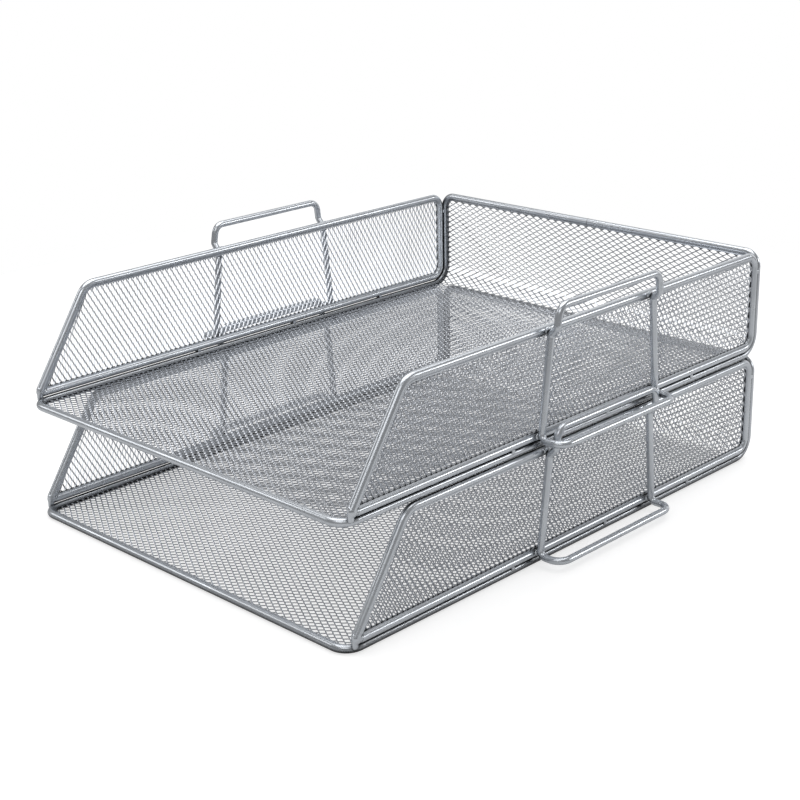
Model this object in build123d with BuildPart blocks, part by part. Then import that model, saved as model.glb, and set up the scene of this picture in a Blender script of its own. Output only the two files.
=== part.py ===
from build123d import *

import math
import os

# A two-tier letter tray of expanded-metal mesh. Each tray is a mesh floor that turns up
# into the back, and two mesh side walls with a sloping front. The edges of the sheets are
# gripped by rolled steel tubes, and a wire bracket is welded to each side wall: its foot is
# an open ring, and the loop at its top stands up through the foot of the tray above.
# Millimetres, +Z up, the open front faces -Y. The origin is on the desk, under the middle.

# --- Overall sizes ---------------------------------------------------------------------
wall_spacing = 250.0      # between the centre lines of the two side walls
tray_depth = 342.1        # outside, from the front bar to the back
wall_height = 55.5        # side rim, from the bottom bar's centre to the top bar's
slope_run = 36.9          # how far a side wall's front edge leans back over that height

# --- Rolled rim tubes ------------------------------------------------------------------
rim_radius = 2.2          # outside
rim_wall = 0.5            # the strip's thickness
rim_slit = 0.8            # the gap between the rolled edges, where the sheet goes in
lip_length = 0.6          # how far the two pinched lips stand out of the tube
gap_over_floor = 0.25     # between the floor rim and a side rim's bottom bar over it
gap_before_back = 0.3     # between the back rim and a side rim's upright in front of it
wall_outside_floor = 1.0  # side rim outside the floor rim
slope_behind_front = 4.3  # foot of the slope behind the front bar
slope_cut = 1.7           # the sloping tube ends this far above the bottom bar's centre line
mitre_gap = 0.2           # between the sloping tube and the bottom bar's mitred end
rim_seam = 0.2            # where the two ends of the floor rim meet

# Bend radii, to the tube's centre line
slope_bend = 11.0
wall_top_bend = 7.0
wall_bottom_bend = 7.5
floor_front_bend = 9.0
floor_back_bend = 12.0
back_top_bend = 8.0

# --- Mesh sheets -----------------------------------------------------------------------
sheet_thickness = 0.6
sheet_inset = 1.2         # a sheet's edge stops this far short of the tube's centre line

# --- Weld tabs -------------------------------------------------------------------------
tab_width = 2.4           # along the bars
tab_across = 3.8          # across the two bars that it joins
tab_length = 2.8          # from bar to bar
tab_rounding = 0.7
weld_gap = 0.05           # between a tab and the tubes it is welded to
first_tab = 113.0         # from the foot of the slope to the first tab under a side wall
last_tab = 60.7           # from the last of them to the side rim's upright
tab_count = 3
rear_tab_drop = 10.5      # rear tab below the top bar
front_tab_width = 3.2
front_tab_thickness = 2.6
front_tab_forward = 0.45  # its middle in front of the middle of the tube's cut end
front_tab_plug = 4.0      # how far the front tab reaches up into the sloping tube
plug_gap = 0.1            # between that plug and the sheet's edge

# --- Wire brackets ---------------------------------------------------------------------
wire_radius = 2.0
front_leg = 132.0         # foot of the front leg, behind the foot of the slope
leg_spacing = 95.3        # between the feet of the two legs
front_leg_lean = 5.5      # how far the front leg leans back by the top bar
rear_leg_lean = 3.6       # how far the rear leg leans forward by the top bar
loop_front_lean = 7.5     # the same, up at the loop
loop_rear_lean = 4.8
foot_drop = 1.1           # the foot below the side rim's bottom bar
foot_reach = 13.4         # the foot's outer bar outside the legs
arm_spread = 0.9          # each foot arm outside its leg
leg_gap = 0.1             # between a leg and the top bar it is welded to
foot_tuck = 0.25          # the leg's lower end is this much nearer the wall than its upper end
joggle = 4.1              # the loop stands this far outside the legs
joggle_below = 2.0        # the joggle starts this far below the top bar's centre
joggle_above = 2.5        # and ends this far above it
loop_stand = 5.2          # the loop's top above the foot ring of the next tray
foot_bend = 3.6
foot_corner = 7.0
joggle_bend = 2.8
loop_corner = 6.0
wire_seam = 0.2           # where the wire's two ends meet, in the middle of the foot

# --- Stacking --------------------------------------------------------------------------
stack_gap = 0.3           # between an upper floor rim and the side rim under it

# --- Places that follow from the sizes ---------------------------------------------------
lip_reach = rim_radius + lip_length
wall_over_floor = 2 * rim_radius + gap_over_floor
wall_before_back = 2 * rim_radius + gap_before_back
wall_x = wall_spacing / 2
floor_x = wall_x - wall_outside_floor
front_y = -tray_depth / 2 + rim_radius
back_y = tray_depth / 2 - rim_radius
foot_y = front_y + slope_behind_front
wall_depth = back_y - wall_before_back - foot_y
floor_z = rim_radius
bar_z = floor_z + wall_over_floor
rim_touch = 2 * rim_radius + stack_gap
tier_pitch = wall_over_floor + wall_height + math.sqrt(rim_touch**2 - wall_outside_floor**2)
slope_length = math.hypot(slope_run, wall_height)
slope_along = slope_run / slope_length
slope_up = wall_height / slope_length
sides = {"left": -1, "right": 1}
tiers = {"lower": 0.0, "upper": tier_pitch}


def wall_point(side, tier_z, back, up):
    """A point in a side wall's plane, from the foot of the slope at the bottom bar's height."""
    return (side * wall_x, foot_y + back, tier_z + bar_z + up)


def wall_plane(side, tier_z):
    """The plane of a side wall: x runs back from the foot of the slope, y runs up."""
    return Plane(origin=wall_point(side, tier_z, 0, 0), x_dir=(0, 1, 0), z_dir=(1, 0, 0))


def rim_section(path, toward_sheet):
    """The rolled tube's section at the start of its path: a slit ring with pinched lips."""
    with BuildSketch(Plane(origin=path @ 0, x_dir=toward_sheet, z_dir=path % 0)) as section:
        Circle(rim_radius)
        Rectangle(lip_reach, rim_slit + 2 * rim_wall, align=(Align.MIN, Align.CENTER))
        Circle(rim_radius - rim_wall, mode=Mode.SUBTRACT)
        Rectangle(lip_reach, rim_slit, align=(Align.MIN, Align.CENTER), mode=Mode.SUBTRACT)
    return section.sketch


def floor_back_rim(tier_z):
    """One tube round the floor's front and sides and up round the back."""
    low = tier_z + floor_z
    high = tier_z + bar_z + wall_height
    with BuildLine() as loop:
        FilletPolyline(
            (rim_seam / 2, back_y, high),
            (floor_x, back_y, high),
            (floor_x, back_y, low),
            (floor_x, front_y, low),
            (-floor_x, front_y, low),
            (-floor_x, back_y, low),
            (-floor_x, back_y, high),
            (-rim_seam / 2, back_y, high),
            radius=[
                back_top_bend,
                floor_back_bend,
                floor_front_bend,
                floor_front_bend,
                floor_back_bend,
                back_top_bend,
            ],
        )
    with BuildPart() as rim:
        sweep(sections=rim_section(loop.line, (0, 0, -1)), path=loop.line)
    return rim.part


def floor_back_mesh(tier_z):
    """The floor sheet, bent up at the rear into the back, with its free corners rounded."""
    low = tier_z + floor_z
    high = tier_z + bar_z + wall_height - sheet_inset
    with BuildLine() as profile:
        FilletPolyline(
            (0, front_y + sheet_inset, low), (0, back_y, low), (0, back_y, high), radius=[floor_back_bend]
        )
    with BuildPart() as sheet:
        with BuildSketch(Plane(origin=profile.line @ 0, x_dir=(1, 0, 0), z_dir=(0, 1, 0))):
            Rectangle(2 * (floor_x - sheet_inset), sheet_thickness)
        sweep(path=profile.line)
        front_corners = sheet.edges().filter_by(Axis.Z).group_by(Axis.Y)[0]
        fillet(front_corners, radius=floor_front_bend - sheet_inset)
        top_corners = sheet.edges().filter_by(Axis.Y).group_by(Axis.Z)[-1]
        fillet(top_corners, radius=back_top_bend - sheet_inset)
    return sheet.part


def side_rim(side, tier_z):
    """The tube round a side wall. The sloping tube's end is left open above the front tab."""
    top_middle = (slope_run + wall_depth) / 2
    with BuildLine() as level:
        FilletPolyline(
            wall_point(side, tier_z, 0, 0),
            wall_point(side, tier_z, wall_depth, 0),
            wall_point(side, tier_z, wall_depth, wall_height),
            wall_point(side, tier_z, top_middle, wall_height),
            radius=[wall_bottom_bend, wall_top_bend],
        )
    with BuildLine() as slope:
        FilletPolyline(
            wall_point(side, tier_z, top_middle, wall_height),
            wall_point(side, tier_z, slope_run, wall_height),
            wall_point(side, tier_z, slope_cut * slope_along, slope_cut * slope_up),
            radius=[slope_bend],
        )
    slope_plane = Plane(
        origin=wall_point(side, tier_z, 0, 0), x_dir=(0, slope_along, slope_up), z_dir=(1, 0, 0)
    )
    with BuildPart() as rim:
        sweep(sections=rim_section(level.line, (0, 0, 1)), path=level.line)
        with BuildSketch(slope_plane):
            Rectangle(6 * rim_radius, 2 * (lip_reach + mitre_gap))
        extrude(amount=lip_reach, both=True, mode=Mode.SUBTRACT)
        sweep(sections=rim_section(slope.line, (0, 0, -1)), path=slope.line)
    return rim.part


def side_mesh(side, tier_z):
    """A flat side sheet, its edge everywhere the same way inside the rim's centre line."""
    with BuildPart() as sheet:
        with BuildSketch(wall_plane(side, tier_z)):
            with BuildLine():
                FilletPolyline(
                    (0, 0),
                    (wall_depth, 0),
                    (wall_depth, wall_height),
                    (slope_run, wall_height),
                    radius=[0, wall_bottom_bend, wall_top_bend, slope_bend],
                    close=True,
                )
            make_face()
            offset(amount=-sheet_inset, mode=Mode.REPLACE)
        extrude(amount=sheet_thickness / 2, both=True)
    return sheet.part


def bottom_tabs(side, tier_z):
    """The tabs welded in the groove between a side rim's bottom bar and the floor rim."""
    tab_pitch = (wall_depth - first_tab - last_tab) / (tab_count - 1)
    middle_x = side * (wall_x + floor_x) / 2
    middle_z = tier_z + (bar_z + floor_z) / 2
    bar_length = wall_depth
    with BuildPart() as tabs:
        with Locations(
            [(middle_x, foot_y + first_tab + n * tab_pitch, middle_z) for n in range(tab_count)]
        ):
            Box(tab_across, tab_width, tab_length)
        fillet(tabs.edges().filter_by(Axis.Z), radius=tab_rounding)
        with BuildSketch(Plane.XZ.offset(-foot_y)):
            with Locations((side * wall_x, tier_z + bar_z), (side * floor_x, tier_z + floor_z)):
                Circle(rim_radius + weld_gap)
        extrude(amount=-bar_length, mode=Mode.SUBTRACT)
    return tabs.part


def rear_tab(side, tier_z):
    """The tab welded between a side rim's upright and the back rim's."""
    middle_x = side * (wall_x + floor_x) / 2
    tab_z = tier_z + bar_z + wall_height - rear_tab_drop
    with BuildPart() as tab:
        with Locations((middle_x, back_y - wall_before_back / 2, tab_z)):
            Box(tab_across, tab_length, tab_width)
        fillet(tab.edges().filter_by(Axis.Y), radius=tab_rounding)
        with BuildSketch(Plane.XY.offset(tab_z)):
            with Locations((side * wall_x, back_y - wall_before_back), (side * floor_x, back_y)):
                Circle(rim_radius + weld_gap)
        extrude(amount=tab_width, both=True, mode=Mode.SUBTRACT)
    return tab.part


def front_tab(side, tier_z):
    """The tab under the sloping tube: a plug in its open end, and a strip down to the floor rim."""
    cut_x, cut_y, cut_z = wall_point(side, tier_z, slope_cut * slope_along, slope_cut * slope_up)
    up_slope = Plane(origin=(cut_x, cut_y, cut_z), x_dir=(1, 0, 0), z_dir=(0, slope_along, slope_up))
    low = tier_z + floor_z
    with BuildLine() as floor_corner:
        FilletPolyline(
            (side * floor_x, front_y + 2 * floor_front_bend, low),
            (side * floor_x, front_y, low),
            (side * (floor_x - 2 * floor_front_bend), front_y, low),
            radius=[floor_front_bend],
        )
    with BuildPart() as tab:
        with Locations((side * (wall_x + floor_x) / 2, cut_y - front_tab_forward, low)):
            Box(
                front_tab_thickness,
                front_tab_width,
                cut_z + rim_radius - low,
                align=(Align.CENTER, Align.CENTER, Align.MIN),
            )
        fillet(tab.edges().filter_by(Axis.Z), radius=tab_rounding)
        with BuildSketch(up_slope):
            Circle(rim_radius + lip_reach)
        extrude(amount=2 * rim_radius, mode=Mode.SUBTRACT)
        with BuildSketch(Plane(origin=floor_corner.line @ 0, z_dir=floor_corner.line % 0)):
            Circle(rim_radius + weld_gap)
        sweep(path=floor_corner.line, mode=Mode.SUBTRACT)
        with BuildSketch(up_slope):
            Circle(sheet_inset - plug_gap)
        extrude(amount=front_tab_plug)
    return tab.part


def bracket(side, tier_z):
    """One closed wire: a foot ring, two legs up the wall, a joggle outwards and the loop."""
    upper_leg_x = wall_x + rim_radius + wire_radius + leg_gap
    lower_leg_x = upper_leg_x - foot_tuck
    outer_x = upper_leg_x + foot_reach
    loop_x = upper_leg_x + joggle
    foot_z = bar_z - foot_drop
    top_z = bar_z + wall_height
    loop_z = foot_z + tier_pitch + loop_stand
    front_y_foot = foot_y + front_leg
    rear_y_foot = front_y_foot + leg_spacing
    seam_y = (front_y_foot + rear_y_foot) / 2
    outline = [
        (outer_x, seam_y - wire_seam / 2, foot_z),
        (outer_x, front_y_foot - arm_spread, foot_z),
        (lower_leg_x, front_y_foot - arm_spread, foot_z),
        (upper_leg_x, front_y_foot + front_leg_lean, top_z - joggle_below),
        (loop_x, front_y_foot + front_leg_lean, top_z + joggle_above),
        (loop_x, front_y_foot + loop_front_lean, loop_z),
        (loop_x, rear_y_foot - loop_rear_lean, loop_z),
        (loop_x, rear_y_foot - rear_leg_lean, top_z + joggle_above),
        (upper_leg_x, rear_y_foot - rear_leg_lean, top_z - joggle_below),
        (lower_leg_x, rear_y_foot + arm_spread, foot_z),
        (outer_x, rear_y_foot + arm_spread, foot_z),
        (outer_x, seam_y + wire_seam / 2, foot_z),
    ]
    with BuildLine() as wire:
        FilletPolyline(
            [(side * x, y, tier_z + z) for x, y, z in outline],
            radius=[
                foot_corner,
                foot_bend,
                joggle_bend,
                joggle_bend,
                loop_corner,
                loop_corner,
                joggle_bend,
                joggle_bend,
                foot_bend,
                foot_corner,
            ],
        )
    with BuildPart() as body:
        with BuildSketch(Plane(origin=wire.line @ 0, z_dir=wire.line % 0)):
            Circle(wire_radius)
        sweep(path=wire.line)
    return body.part


def save(piece, name):
    """Label a finished piece and write it to its own file."""
    piece.label = name
    export_step(piece, f"parts/{name}.step")


os.makedirs("parts", exist_ok=True)
for tier, tier_z in tiers.items():
    save(floor_back_rim(tier_z), f"{tier}_floor_back_rim")
    save(floor_back_mesh(tier_z), f"{tier}_floor_back_mesh")
    for hand, side in sides.items():
        save(side_rim(side, tier_z), f"{tier}_{hand}_side_rim")
        save(side_mesh(side, tier_z), f"{tier}_{hand}_side_mesh")
        save(bottom_tabs(side, tier_z), f"{tier}_{hand}_bottom_tabs")
        save(rear_tab(side, tier_z), f"{tier}_{hand}_rear_tab")
        save(front_tab(side, tier_z), f"{tier}_{hand}_front_tab")
        save(bracket(side, tier_z), f"{tier}_{hand}_bracket")
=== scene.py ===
# %% [markdown]
# # A two-tier mesh letter tray
# The CAD frame holds the tubes, wires and weld tabs at their real size. What it leaves plain is the
# mesh: each sheet is a flat slab. Here every sheet becomes real expanded metal, diamond by diamond,
# and every surface gets its silver paint.

# %% Load the frame
import math

import bmesh
import bpy
from mathutils import Matrix, Vector


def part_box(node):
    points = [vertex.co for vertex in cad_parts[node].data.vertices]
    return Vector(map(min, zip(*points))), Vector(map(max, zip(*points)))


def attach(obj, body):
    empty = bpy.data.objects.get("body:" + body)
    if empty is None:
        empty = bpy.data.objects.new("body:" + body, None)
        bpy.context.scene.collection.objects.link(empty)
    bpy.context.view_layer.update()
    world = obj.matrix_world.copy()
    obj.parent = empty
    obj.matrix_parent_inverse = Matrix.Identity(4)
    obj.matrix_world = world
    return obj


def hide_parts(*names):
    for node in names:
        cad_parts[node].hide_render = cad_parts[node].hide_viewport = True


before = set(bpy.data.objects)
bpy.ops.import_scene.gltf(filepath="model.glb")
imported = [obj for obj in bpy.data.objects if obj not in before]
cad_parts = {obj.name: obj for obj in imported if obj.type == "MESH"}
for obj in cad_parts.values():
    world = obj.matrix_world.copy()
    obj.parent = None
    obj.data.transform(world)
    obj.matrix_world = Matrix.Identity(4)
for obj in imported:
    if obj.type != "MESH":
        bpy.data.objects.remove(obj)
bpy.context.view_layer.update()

# %% [markdown]
# ## Expanded metal
# A press slits a steel sheet in staggered rows and pulls it open. Each strip between two slits
# becomes a zigzag of flat strands, and where two strips stay joined there is a bond, twice as wide.
# The pull also twists every strand about the long way of the diamonds, so the sheet is like a
# louvre: one side of each strand looks up, the other down. That is why one diagonal of the mesh
# catches the light and the other stays grey. A flat sheet with holes in it would miss that, so the
# mesh is built from one tilted bond with its strands, repeated in rows.

# %% Sizes of the mesh
mm = 0.001
long_pitch = 6.2 * mm
short_pitch = 3.54 * mm
strand_width = 0.66 * mm
strand_thickness = 0.44 * mm
bond_length = 0.7 * mm
# Points closer together than this are one point.
merge_distance = 0.01 * mm
decimetre = 100 * mm
print("diamonds in a square decimetre", round(2 * decimetre**2 / (long_pitch * short_pitch)))


# %% One bond and its strands
def add_bond(bm, x, y, lean):
    """A bond at x, y and the two strands that run down from its lower half to the next bonds."""
    plane = bmesh.ops.create_grid(bm, x_segments=1, y_segments=2, size=0.5)["verts"]
    bmesh.ops.scale(bm, verts=plane, vec=(bond_length, 2 * strand_width, 1))
    bmesh.ops.rotate(bm, verts=plane, matrix=Matrix.Rotation(lean, 3, "X"))
    width = Vector((0, strand_width * math.cos(lean), strand_width * math.sin(lean)))
    for way in (-1, 1):
        lower = [v for v in plane if v.co.x * way > 0 and v.co.y < merge_distance]
        edge = [e for e in lower[0].link_edges if e.other_vert(lower[0]) in lower]
        pulled = bmesh.ops.extrude_edge_only(bm, edges=edge)["geom"]
        ends = [g for g in pulled if isinstance(g, bmesh.types.BMVert)]
        step = Vector((way * (long_pitch / 2 - bond_length), -short_pitch / 2, 0)) + width
        bmesh.ops.translate(bm, verts=ends, vec=step)
        plane = plane + ends
    bmesh.ops.translate(bm, verts=plane, vec=(x, y, 0))


# %% Rows of bonds
# The rows reach a little past each side of the sheet, and the trim takes the rest away.
spare_rows = 2


def as_object(bm, name):
    """Turn a finished bmesh into an object of the scene."""
    data = bpy.data.meshes.new(name)
    bm.to_mesh(data)
    bm.free()
    obj = bpy.data.objects.new(name, data)
    bpy.context.scene.collection.objects.link(obj)
    return obj


def flat_mesh(size, lean):
    """A sheet of mesh a little larger than size, long way along X, from the origin up."""
    bm = bmesh.new()
    add_bond(bm, 0, 0, lean)
    add_bond(bm, long_pitch / 2, short_pitch / 2, lean)
    bmesh.ops.remove_doubles(bm, verts=bm.verts[:], dist=merge_distance)
    pattern = as_object(bm, "pattern")
    for axis, pitch in enumerate((long_pitch, short_pitch)):
        rows = pattern.modifiers.new("rows", "ARRAY")
        rows.count = math.ceil(size[axis] / pitch) + spare_rows
        rows.use_relative_offset = False
        rows.use_constant_offset = True
        rows.constant_offset_displace = [pitch if n == axis else 0 for n in range(3)]
        rows.use_merge_vertices = True
        rows.merge_threshold = merge_distance
    bpy.context.view_layer.update()
    repeated = pattern.evaluated_get(bpy.context.evaluated_depsgraph_get())
    bm = bmesh.new()
    bm.from_mesh(repeated.to_mesh())
    bpy.data.objects.remove(pattern)
    bmesh.ops.translate(bm, verts=bm.verts[:], vec=(-long_pitch / 2, -short_pitch / 2, 0))
    return bm


# %% [markdown]
# ## Trimming and thickness
# A guillotine cuts the real sheet to size, straight through bonds and strands. Here the blade is a
# plane that stands on the flat sheet, and a round corner takes two more cuts across it. A cut that
# only grazes a strand leaves a sliver, or a crumb that hangs by a corner, and both are cleared
# away. The thickness comes after the cuts, because a ribbon with no thickness cuts cleanly and a
# closed strand would be left open at its end.

# %% Cut along a plane and clear the crumbs
def cut(bm, point, outward):
    """Cut away what lies past a plane that stands on the sheet, and leave no slivers along it."""
    everything = bm.verts[:] + bm.edges[:] + bm.faces[:]
    bmesh.ops.bisect_plane(
        bm, geom=everything, plane_co=(*point, 0), plane_no=(*outward, 0), clear_outer=True,
        dist=merge_distance,
    )
    bmesh.ops.dissolve_degenerate(bm, edges=bm.edges[:], dist=merge_distance)


def drop_crumbs(bm):
    """Keep the largest connected lump of the sheet and delete the rest."""
    left = set(bm.faces)
    lumps = []
    while left:
        lump = [left.pop()]
        for face in lump:
            beside = {near for edge in face.edges for near in edge.link_faces} & left
            left -= beside
            lump.extend(beside)
        lumps.append(lump)
    lumps.sort(key=len)
    crumbs = [face for lump in lumps[:-1] for face in lump]
    bmesh.ops.delete(bm, geom=crumbs, context="FACES")
    loose = [v for v in bm.verts if not v.link_faces]
    bmesh.ops.delete(bm, geom=loose, context="VERTS")
    print("crumbs cut off", len(crumbs))


# %% Trim a sheet to its outline
# How far each of the two cuts across a round corner is turned, from one side towards the next.
corner_cuts = (0.33, 0.67)


def trim(bm, corners, radii):
    """Trim to a convex outline given anticlockwise, with a radius for each of its corners."""
    count = len(corners)
    sides = [(corners[(n + 1) % count] - corners[n]).normalized() for n in range(count)]
    outwards = [Vector((side.y, -side.x)) for side in sides]
    for n, (corner, radius) in enumerate(zip(corners, radii)):
        cut(bm, corner, outwards[n])
        if radius:
            before, after = outwards[n - 1], outwards[n]
            centre = corner - (before + after) * radius / (1 + before.dot(after))
            for share in corner_cuts:
                outward = before.lerp(after, share).normalized()
                cut(bm, centre + outward * radius, outward)
    drop_crumbs(bm)


# %% Give a trimmed sheet its thickness
def thicken(bm):
    """Turn the ribbons into strands of sheet steel, half the thickness to each side."""
    bmesh.ops.recalc_face_normals(bm, faces=bm.faces[:])
    for v in bm.verts:
        v.co += v.normal * strand_thickness / 2
    bmesh.ops.solidify(bm, geom=bm.faces[:], thickness=strand_thickness)


# %% [markdown]
# ## Silver paint
# The steel is sprayed with a silver stove enamel: tiny aluminium flakes in a clear binder. From a
# distance it is an even satin grey that is bright where it faces the light and dark where it faces
# away, so the shader is a metal with a soft gloss. Close by it has three small faults that make it
# look like paint: the flakes sparkle, the surface has a faint orange peel, and the coat is a little
# thicker in some places than in others. The node group paint_skin makes all three, and each paint
# sets how strong they are. A second group paints shade into the colour of the narrow gaps between
# the bars, where little light comes back.

# %% Helpers for nodes
def link(tree, source, target):
    tree.links.new(source, target)


def noise(tree, place, scale, detail):
    """Soft noise from 0 to 1; scale is about how many lumps there are to the metre."""
    texture = tree.nodes.new("ShaderNodeTexNoise")
    texture.inputs["Scale"].default_value = scale
    texture.inputs["Detail"].default_value = detail
    link(tree, place, texture.inputs["Vector"])
    return texture.outputs["Fac"]


def spread(tree, value, old_range, new_range):
    """Map a value from one range to another."""
    node = tree.nodes.new("ShaderNodeMapRange")
    link(tree, value, node.inputs["Value"])
    numbers = (*old_range, *new_range)
    for name, number in zip(("From Min", "From Max", "To Min", "To Max"), numbers):
        node.inputs[name].default_value = number
    return node.outputs["Result"]


def combine(tree, how, first, second):
    node = tree.nodes.new("ShaderNodeMath")
    node.operation = how
    link(tree, first, node.inputs[0])
    link(tree, second, node.inputs[1])
    return node.outputs["Value"]


def scaled(tree, colour, amount):
    """Make a colour brighter or darker by an amount, where 1 leaves it as it is."""
    node = tree.nodes.new("ShaderNodeVectorMath")
    node.operation = "SCALE"
    link(tree, colour, node.inputs[0])
    link(tree, amount, node.inputs["Scale"])
    return node.outputs["Vector"]


# %% Helpers for node groups
def sockets(group, way, kinds):
    """Give a node group its named inputs or outputs."""
    for name, kind in kinds.items():
        group.interface.new_socket(name, in_out=way, socket_type=f"NodeSocket{kind}")


def use_group(tree, group, values):
    """Put a node group into a material with the material's own values."""
    node = tree.nodes.new("ShaderNodeGroup")
    node.node_tree = group
    for name, value in values.items():
        node.inputs[name].default_value = value
    return node


# %% The skin of the paint
flake_scale = 5200
peel_scale = 800
coat_scale = 45
# Most of the noise lies in this range. A thick coat is a little brighter and glossier.
usual_noise = (0.3, 0.7)
coat_tone = (0.93, 1.04)
coat_dulling = (0.05, -0.04)

paint_skin = bpy.data.node_groups.new("paint_skin", "ShaderNodeTree")
sockets(paint_skin, "INPUT", {"Colour": "Color", "Gloss Loss": "Float", "Sparkle": "Float"})
sockets(paint_skin, "OUTPUT", {"Colour": "Color", "Roughness": "Float", "Peel": "Float"})
given = paint_skin.nodes.new("NodeGroupInput")
made = paint_skin.nodes.new("NodeGroupOutput")
place = paint_skin.nodes.new("ShaderNodeTexCoord").outputs["Object"]
flakes = noise(paint_skin, place, flake_scale, detail=1)
coat = noise(paint_skin, place, coat_scale, detail=3)
peel = noise(paint_skin, place, peel_scale, detail=2)
glints = spread(paint_skin, flakes, usual_noise, (-1, 1))
glints = combine(paint_skin, "MULTIPLY", glints, given.outputs["Sparkle"])
tone = combine(paint_skin, "ADD", spread(paint_skin, coat, usual_noise, coat_tone), glints)
link(paint_skin, scaled(paint_skin, given.outputs["Colour"], tone), made.inputs["Colour"])
dulled = spread(paint_skin, coat, usual_noise, coat_dulling)
gloss_loss = combine(paint_skin, "ADD", given.outputs["Gloss Loss"], dulled)
link(paint_skin, gloss_loss, made.inputs["Roughness"])
link(paint_skin, combine(paint_skin, "ADD", peel, glints), made.inputs["Peel"])
print("paint_skin has", len(paint_skin.nodes), "nodes")

# %% Painted shade in the narrow gaps
# This paints shade into the colour. The surface is Dark or darker where little of what lies
# within Reach is open, and Clear where most of it is.
gap_samples = 6
deepest_shade = 0.06

painted_crevice_shade = bpy.data.node_groups.new("painted_crevice_shade", "ShaderNodeTree")
sockets(painted_crevice_shade, "INPUT", {"Reach": "Float", "Dark": "Float", "Clear": "Float"})
sockets(painted_crevice_shade, "OUTPUT", {"Shade": "Float"})
given = painted_crevice_shade.nodes.new("NodeGroupInput")
made = painted_crevice_shade.nodes.new("NodeGroupOutput")
openness = painted_crevice_shade.nodes.new("ShaderNodeAmbientOcclusion")
openness.samples = gap_samples
link(painted_crevice_shade, given.outputs["Reach"], openness.inputs["Distance"])
shade = spread(painted_crevice_shade, openness.outputs["AO"], (0, 1), (deepest_shade, 1))
link(painted_crevice_shade, given.outputs["Dark"], shade.node.inputs["From Min"])
link(painted_crevice_shade, given.outputs["Clear"], shade.node.inputs["From Max"])
link(painted_crevice_shade, shade, made.inputs["Shade"])
print("crevices has", len(painted_crevice_shade.nodes), "nodes")


# %% The paints
def silver(name, colour, metallic, roughness, sparkle, peel_depth, gap=None):
    """A silver enamel; gap gives the Reach, Dark and Clear of the shade painted into its narrow gaps.
    """
    material = bpy.data.materials.new(name)
    material.use_nodes = True
    tree = material.node_tree
    shader = tree.nodes["Principled BSDF"]
    shader.inputs["Metallic"].default_value = metallic
    values = {"Colour": (*colour, 1), "Gloss Loss": roughness, "Sparkle": sparkle}
    skin = use_group(tree, paint_skin, values)
    base = skin.outputs["Colour"]
    if gap:
        gaps = use_group(tree, painted_crevice_shade, dict(zip(("Reach", "Dark", "Clear"), gap)))
        base = scaled(tree, base, gaps.outputs["Shade"])
    link(tree, base, shader.inputs["Base Color"])
    link(tree, skin.outputs["Roughness"], shader.inputs["Roughness"])
    bump = tree.nodes.new("ShaderNodeBump")
    bump.inputs["Distance"].default_value = peel_depth
    link(tree, skin.outputs["Peel"], bump.inputs["Height"])
    link(tree, bump.outputs["Normal"], shader.inputs["Normal"])
    return material


tube_colour = (0.62, 0.65, 0.69)
mesh_colour = (0.61, 0.63, 0.665)
tube_coat = {"metallic": 0.9, "roughness": 0.27, "sparkle": 0.01, "peel_depth": 0.004 * mm}
wire_coat = {"metallic": 0.9, "roughness": 0.26, "sparkle": 0.008, "peel_depth": 0.003 * mm}
mesh_coat = {"metallic": 1.0, "roughness": 0.2, "sparkle": 0.015, "peel_depth": 0.004 * mm}
# Tubes and wires get painted shade in their narrow gaps. The floor rims wear the tube paint with a
# deeper, wider painted shade.
tube_paint = silver("silver_tube_paint", tube_colour, **tube_coat, gap=(6 * mm, 0.3, 0.85))
deep_shade_rim_paint = silver("silver_floor_rim_paint", tube_colour, **tube_coat, gap=(12 * mm, 0.5, 0.9))
wire_paint = silver("silver_wire_paint", tube_colour, **wire_coat, gap=(4 * mm, 0.3, 0.85))
mesh_paint = silver("silver_mesh_paint", mesh_colour, **mesh_coat)

# %% Paint the tubes and wires
paints = {"bracket": wire_paint, "floor_back_rim": deep_shade_rim_paint}
for name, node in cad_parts.items():
    chosen = [paint for ending, paint in paints.items() if name.endswith(ending)]
    for slot in node.material_slots:
        slot.material = chosen[0] if chosen else tube_paint
print(len(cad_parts), "CAD nodes painted")

# %% [markdown]
# ## Side walls
# Each side of a tray is a sheet of mesh in a frame of steel tube. The tube is a strip rolled round
# the edge of the sheet, with two lips that pinch it. The front of the wall leans back, so the hand
# reaches the paper. The long way of the diamonds stands upright. The left sheet is turned over, so
# its strands are tilted the other way, and the two tilts differ in size because no two sheets come
# out of the flattening rolls quite alike.

# %% Sizes of the side walls
tiers = ["lower", "upper"]
# Each wall has the way its outer side faces along X.
hands = {"left": -1, "right": 1}
side_lean = {"left": math.radians(-45), "right": math.radians(28)}
front_run = 36.9 * mm
front_rise = 55.5 * mm
slope = front_run / front_rise
# The front edge is set back a little, so that its cut misses a row of bonds and leaves no slivers.
set_back = 0.06 * mm
wall_radii = {"front_bottom": 0, "front_top": 9.8 * mm, "rear_top": 5.8 * mm, "rear_bottom": 6.3 * mm}
print("the front edge leans back", round(math.degrees(math.atan(slope)), 1), "degrees")


# %% Side walls
def mesh_piece(bm, name, node, body):
    """Finish a sheet as a piece that stands for its CAD node and rides with its tray."""
    bmesh.ops.triangulate(bm, faces=bm.faces[:])
    piece = as_object(bm, name)
    piece.data.materials.append(mesh_paint)
    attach(piece, body)
    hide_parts(node)
    print(name, len(piece.data.polygons), "triangles")


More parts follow.
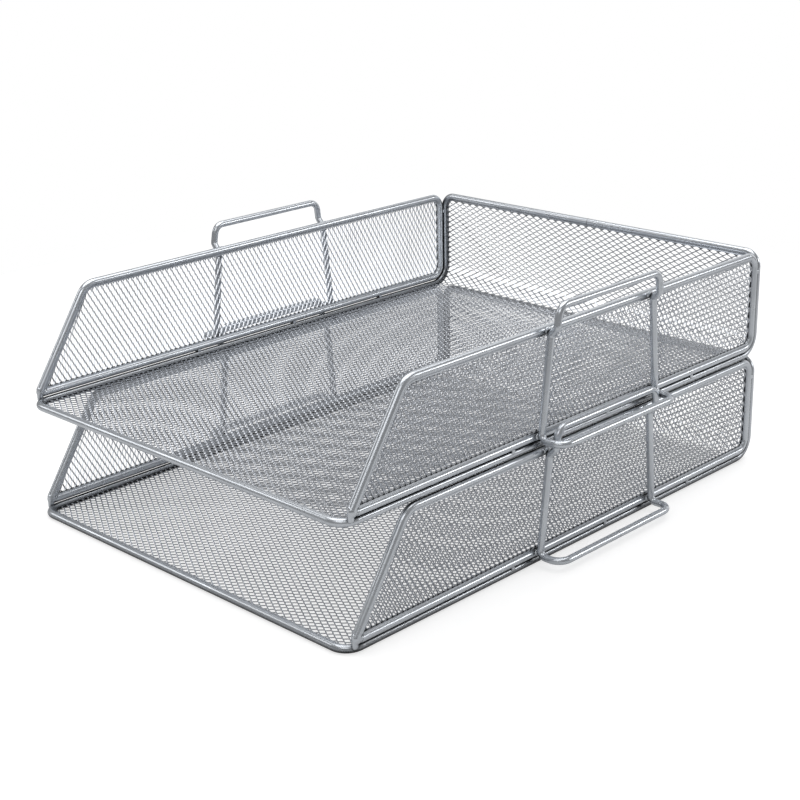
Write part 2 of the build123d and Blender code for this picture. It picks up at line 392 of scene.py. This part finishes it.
def side_wall(tier, hand):
    """The long way of the diamonds stands upright, so X of the flat sheet becomes Z."""
    node = f"{tier}_{hand}_side_mesh"
    low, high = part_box(node)
    height, depth = high.z - low.z, high.y - low.y
    front_bottom = Vector((0, set_back))
    front_top = Vector((height, slope * height + set_back))
    rear_top = Vector((height, depth))
    rear_bottom = Vector((0, depth))
    bm = flat_mesh((height, depth), side_lean[hand])
    trim(bm, [front_bottom, front_top, rear_top, rear_bottom], wall_radii.values())
    thicken(bm)
    upright = Matrix((
        (0, 0, -1, (low.x + high.x) / 2),
        (0, 1, 0, low.y),
        (1, 0, 0, low.z),
        (0, 0, 0, 1),
    ))
    bmesh.ops.transform(bm, matrix=upright, verts=bm.verts[:])
    mesh_piece(bm, f"{tier}_{hand}_side_diamonds", node, f"{tier}_tray")


for tier in tiers:
    for hand in hands:
        side_wall(tier, hand)

# %% [markdown]
# ## Floor and back
# Floor and back are one sheet: it lies flat, turns up through a quarter circle of 12 mm and ends
# in the tube along the top of the back. The long way of the diamonds runs from side to side here,
# and so do the wavy lines of bonds. The sheet is made flat, trimmed to its round corners and then
# wrapped, which is also how the press brake does it, so no diamond is stretched at the bend. It is
# made as two halves, front and rear, to keep each piece light enough to handle.

# %% Sizes of the floor and back
floor_lean = math.radians(-36)
bend_radius = 12 * mm
quarter_turn = math.pi / 2
# The mesh follows the middle of the plain CAD sheet, which is twice this thick.
half_slab = 0.3 * mm
floor_radii = {
    "front_left": 7.8 * mm,
    "front_right": 7.8 * mm,
    "top_right": 6.8 * mm,
    "top_left": 6.8 * mm,
}
print("the bend takes up", round(bend_radius * quarter_turn / mm, 1), "mm of the sheet")


# %% Floor and back
def bend_up(bm, start, low_z):
    """Wrap the flat sheet: past start it turns up through a quarter circle and then runs up."""
    for v in bm.verts:
        past = v.co.y - start
        angle = min(max(past / bend_radius, 0), quarter_turn)
        inward = bend_radius - v.co.z
        beyond = max(past - bend_radius * quarter_turn, 0)
        v.co.y = min(v.co.y, start) + inward * math.sin(angle)
        v.co.z = low_z + bend_radius - inward * math.cos(angle) + beyond


def floor_back(tier):
    """Lay the sheet through the middle of the CAD slab, and cut it into halves before the bend."""
    node = f"{tier}_floor_back_mesh"
    low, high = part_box(node)
    low_z = low.z + half_slab
    start = high.y - half_slab - bend_radius
    length = (start - low.y) + bend_radius * quarter_turn + (high.z - low_z - bend_radius)
    end = low.y + length
    corners = [(low.x, low.y), (high.x, low.y), (high.x, end), (low.x, end)]
    outline = [Vector(corner) for corner in corners]
    for half, outward in {"front": 1, "rear": -1}.items():
        bm = flat_mesh((high.x - low.x, length), floor_lean)
        bmesh.ops.translate(bm, verts=bm.verts[:], vec=(low.x, low.y, 0))
        trim(bm, outline, floor_radii.values())
        cut(bm, (0, low.y + length / 2), (0, outward))
        drop_crumbs(bm)
        thicken(bm)
        bend_up(bm, start, low_z)
        mesh_piece(bm, f"{tier}_floor_back_diamonds_{half}", node, f"{tier}_tray")


for tier in tiers:
    floor_back(tier)

# %% [markdown]
# ## Welds of the wire brackets
# A 4 mm wire is bent into a loop that stands above the wall and an open foot at its bottom, and
# the foot of the tray above drops over the loop. Its upright legs cross the bars of the wall, and
# two round bars that cross touch only at a point, so resistance welding melts a little lens of
# steel there. Without it the wire would seem to float against the wall. Each bead is a flattened
# ball, half sunk in both bars. The place comes from the wire itself: a ray along the bar finds
# the leg.

# %% A weld bead
def weld_bead(bm, place, radii):
    """A small lens of melted steel where two round bars touch."""
    ball = bmesh.ops.create_uvsphere(bm, u_segments=20, v_segments=12, radius=1)["verts"]
    bmesh.ops.scale(bm, verts=ball, vec=radii)
    bmesh.ops.translate(bm, verts=ball, vec=place)


def weld_piece(bm, name, tier):
    """Finish beads as one smooth piece that wears the paint of the wires."""
    for face in bm.faces:
        face.smooth = True
    welds = as_object(bm, name)
    welds.data.materials.append(wire_paint)
    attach(welds, f"{tier}_tray")
    return welds


# %% Welds of the wire brackets
rim_radius = 2.2 * mm
wire_radius = 2 * mm
leg_bead = (1.0 * mm, 2.6 * mm, 1.9 * mm)
# The middle of a leg lies this far outside the face of a bar.
leg_middle = 2.05 * mm
# The lower welds lie this far above the middle of the bottom bar, because the wire bends there.
foot_lift = 0.6 * mm


def bracket_welds(tier):
    """Weld both legs of each bracket to the top bar and to the bottom bar of its wall."""
    bm = bmesh.new()
    for hand, side in hands.items():
        low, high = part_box(f"{tier}_{hand}_side_rim")
        outer_x = (low.x + high.x) / 2 + side * rim_radius
        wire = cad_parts[f"{tier}_{hand}_bracket"]
        for bar_z, lift in ((high.z - rim_radius, 0), (low.z + rim_radius, foot_lift)):
            for way, start_y in ((1, low.y), (-1, high.y)):
                start = Vector((outer_x + side * leg_middle, start_y, bar_z + 3 * lift))
                found, hit = wire.ray_cast(start, Vector((0, way, 0)))[:2]
                place = Vector((outer_x, hit.y + way * wire_radius, bar_z + lift))
                weld_bead(bm, place, leg_bead)
                print(tier, hand, "leg found", found, "weld at", [round(c / mm, 1) for c in place])
    weld_piece(bm, f"{tier}_bracket_welds", tier)


bpy.context.view_layer.update()
for tier in tiers:
    bracket_welds(tier)

# %% [markdown]
# ## Front corners
# At the front lower corner the bar of the floor, the bar of the wall and the sloping bar meet in
# one point, and a fillet of weld with the paint flowed over it hides the cut tube ends. The plain
# tab of the CAD part is replaced by a small block with soft edges and two beads that run into the
# tubes.

# %% Sizes of the front corners
block_depth = 3.4 * mm
block_height = 8.4 * mm
soft_edge = 1.3 * mm
# How far behind the front of the wall and above its foot each bead lies, and then its radii.
slope_bead = (2.4 * mm, 3.0 * mm, (2.22 * mm, 2.7 * mm, 3.1 * mm))
bar_bead = (4.6 * mm, rim_radius, (2.12 * mm, 3.4 * mm, 2.12 * mm))


# %% Front corners
def front_corner_weld(tier, hand):
    """A block in the place of the tab, with a bead on the sloping bar and one on the bottom bar."""
    node = f"{tier}_{hand}_front_tab"
    low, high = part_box(node)
    rim_low, rim_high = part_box(f"{tier}_{hand}_side_rim")
    bm = bmesh.new()
    block = bmesh.ops.create_cube(bm, size=1)["verts"]
    size = Vector((high.x - low.x, block_depth, block_height))
    middle = Vector(((low.x + high.x) / 2, low.y + size.y / 2, low.z + size.z / 2))
    bmesh.ops.scale(bm, verts=block, vec=size)
    bmesh.ops.bevel(
        bm, geom=bm.edges[:], offset=soft_edge, offset_type="OFFSET", affect="EDGES",
        segments=4, profile=0.5, material=-1,
    )
    bmesh.ops.translate(bm, verts=bm.verts[:], vec=middle)
    wall_x = (rim_low.x + rim_high.x) / 2
    for behind, above, radii in (slope_bead, bar_bead):
        weld_bead(bm, Vector((wall_x, rim_low.y + behind, rim_low.z + above)), radii)
    weld = weld_piece(bm, f"{tier}_{hand}_front_weld", tier)
    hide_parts(node)
    print(weld.name, len(weld.data.polygons), "faces")


for tier in tiers:
    for hand in hands:
        front_corner_weld(tier, hand)

# %% [markdown]
# ## The desk and the light
# The tray stands on a matt white desk in a white room. Silver paint shows its surroundings, so
# most of the look is in what it sees. World and desk are plain white to the camera, which leaves
# the soft shadow under the foot as the only trace of the desk. To the paint they are a dimmer
# white, with one bright side behind the tray, as in a room where the lamps are the brightest
# thing.

# %% Desk
half_desk = 0.6
desk_white = 0.5
desk_glow = 0.67
# How bright the white of desk and room is in the paint, where 1 is what the camera sees.
paint_sees = 0.3

bm = bmesh.new()
bmesh.ops.create_grid(bm, x_segments=1, y_segments=1, size=half_desk)
desk = as_object(bm, "desk")
white = bpy.data.materials.new("white_desk")
white.use_nodes = True
tree = white.node_tree
shader = tree.nodes["Principled BSDF"]
shader.inputs["Base Color"].default_value = (desk_white, desk_white, desk_white, 1)
shader.inputs["Roughness"].default_value = 0.6
shader.inputs["Emission Color"].default_value = (desk_glow, desk_glow, desk_glow, 1)
path = tree.nodes.new("ShaderNodeLightPath")
glow = tree.nodes.new("ShaderNodeMath")
glow.operation = "MULTIPLY_ADD"
link(tree, path.outputs["Is Glossy Ray"], glow.inputs[0])
glow.inputs[1].default_value = paint_sees
link(tree, path.outputs["Is Camera Ray"], glow.inputs[2])
link(tree, glow.outputs["Value"], shader.inputs["Emission Strength"])
desk.data.materials.append(white)
bpy.context.view_layer.update()
print("desk", [round(side, 2) for side in desk.dimensions], "m")

# %% World
bright_side = Vector((-0.3, 0.92, 0.08)).normalized()
# Where each light part of the room begins and is full, and how bright it is there.
backdrop_edge = (0.65, 0.9)
backdrop_level = (0, 0.95)
ceiling_edge = (0.1, 0.9)
ceiling_level = (0.02, 0.3)

world = bpy.data.worlds.new("studio")
bpy.context.scene.world = world
world.use_nodes = True
tree = world.node_tree
direction = tree.nodes.new("ShaderNodeTexCoord").outputs["Generated"]
towards = tree.nodes.new("ShaderNodeVectorMath")
towards.operation = "DOT_PRODUCT"
link(tree, direction, towards.inputs[0])
towards.inputs[1].default_value = bright_side
backdrop = spread(tree, towards.outputs["Value"], backdrop_edge, backdrop_level)
upwards = tree.nodes.new("ShaderNodeSeparateXYZ")
link(tree, direction, upwards.inputs[0])
ceiling = spread(tree, upwards.outputs["Z"], ceiling_edge, ceiling_level)
room = combine(tree, "MAXIMUM", backdrop, ceiling)
path = tree.nodes.new("ShaderNodeLightPath").outputs
mirrored = combine(tree, "MAXIMUM", path["Is Glossy Ray"], path["Is Transmission Ray"])
dimmed = spread(tree, mirrored, (0, 1), (0, paint_sees))
seen = combine(tree, "MAXIMUM", dimmed, path["Is Camera Ray"])
background = tree.nodes["Background"]
link(tree, combine(tree, "MAXIMUM", room, seen), background.inputs["Color"])
background.inputs["Strength"].default_value = 1
print("the bright side lies towards", [round(c, 2) for c in bright_side])

# %% [markdown]
# ## Lamps
# Four soft boxes. A wide panel overhead draws the bright line along every tube and lights the
# mesh evenly, so that no floor glares. The key lights the front and makes one diagonal of the
# mesh shine, and the two at the sides give the upright bars an edge. The level of a box is what a
# mirror would show, where 1 is white.

# %% Lamps
aim = Vector((0, 0, 0.05))


def softbox(name, place, width, height, level):
    """A rectangular lamp, in metres, that faces the tray."""
    light = bpy.data.lights.new(name, "AREA")
    light.shape = "RECTANGLE"
    light.size = width
    light.size_y = height
    light.energy = level * math.pi * width * height
    lamp = bpy.data.objects.new(name, light)
    bpy.context.scene.collection.objects.link(lamp)
    lamp.location = place
    lamp.rotation_euler = (aim - Vector(place)).to_track_quat("-Z", "Y").to_euler()
    print(name, "lamp", round(light.energy, 1), "W")


softbox("overhead", place=(-0.1, 0.1, 1.3), width=1.5, height=1.3, level=2.1)
softbox("key", place=(0.6, -0.95, 0.95), width=0.9, height=0.5, level=1.7)
softbox("right", place=(1.05, 1.0, 0.5), width=0.6, height=0.3, level=5.0)
softbox("left", place=(-1.3, -0.9, 0.9), width=0.5, height=0.8, level=2.0)

# %% [markdown]
# ## Camera
# A long lens from the front right, a little above the stack, so both trays show their floor, the
# inside of the left wall and the outside of the right one. Heading, pitch and roll are in radians:
# the heading turns from straight ahead, along Y, and a pitch below zero looks down.

# %% Camera
film_width = 36
lens = 71.680185
camera_place = Vector((608.905, -619.264, 363.683)) * mm
heading, pitch, roll = -0.7806, -0.3437, -0.0219

camera_data = bpy.data.cameras.new("camera")
camera = bpy.data.objects.new("camera", camera_data)
bpy.context.scene.collection.objects.link(camera)
bpy.context.scene.camera = camera
camera_data.sensor_width = film_width
camera_data.lens = lens
camera_data.clip_start = 0.01
forward = Vector(
    (math.sin(heading) * math.cos(pitch), math.cos(heading) * math.cos(pitch), math.sin(pitch))
)
across = forward.cross(Vector((0, 0, 1))).normalized()
above = across.cross(forward)
right = across * math.cos(roll) + above * math.sin(roll)
top = above * math.cos(roll) - across * math.sin(roll)
turned = Matrix((right, top, -forward)).transposed().to_4x4()
camera.matrix_world = Matrix.Translation(camera_place) @ turned
print("camera", round(camera_place.length, 2), "m from the origin")

bpy.context.scene.view_settings.view_transform = "Standard"
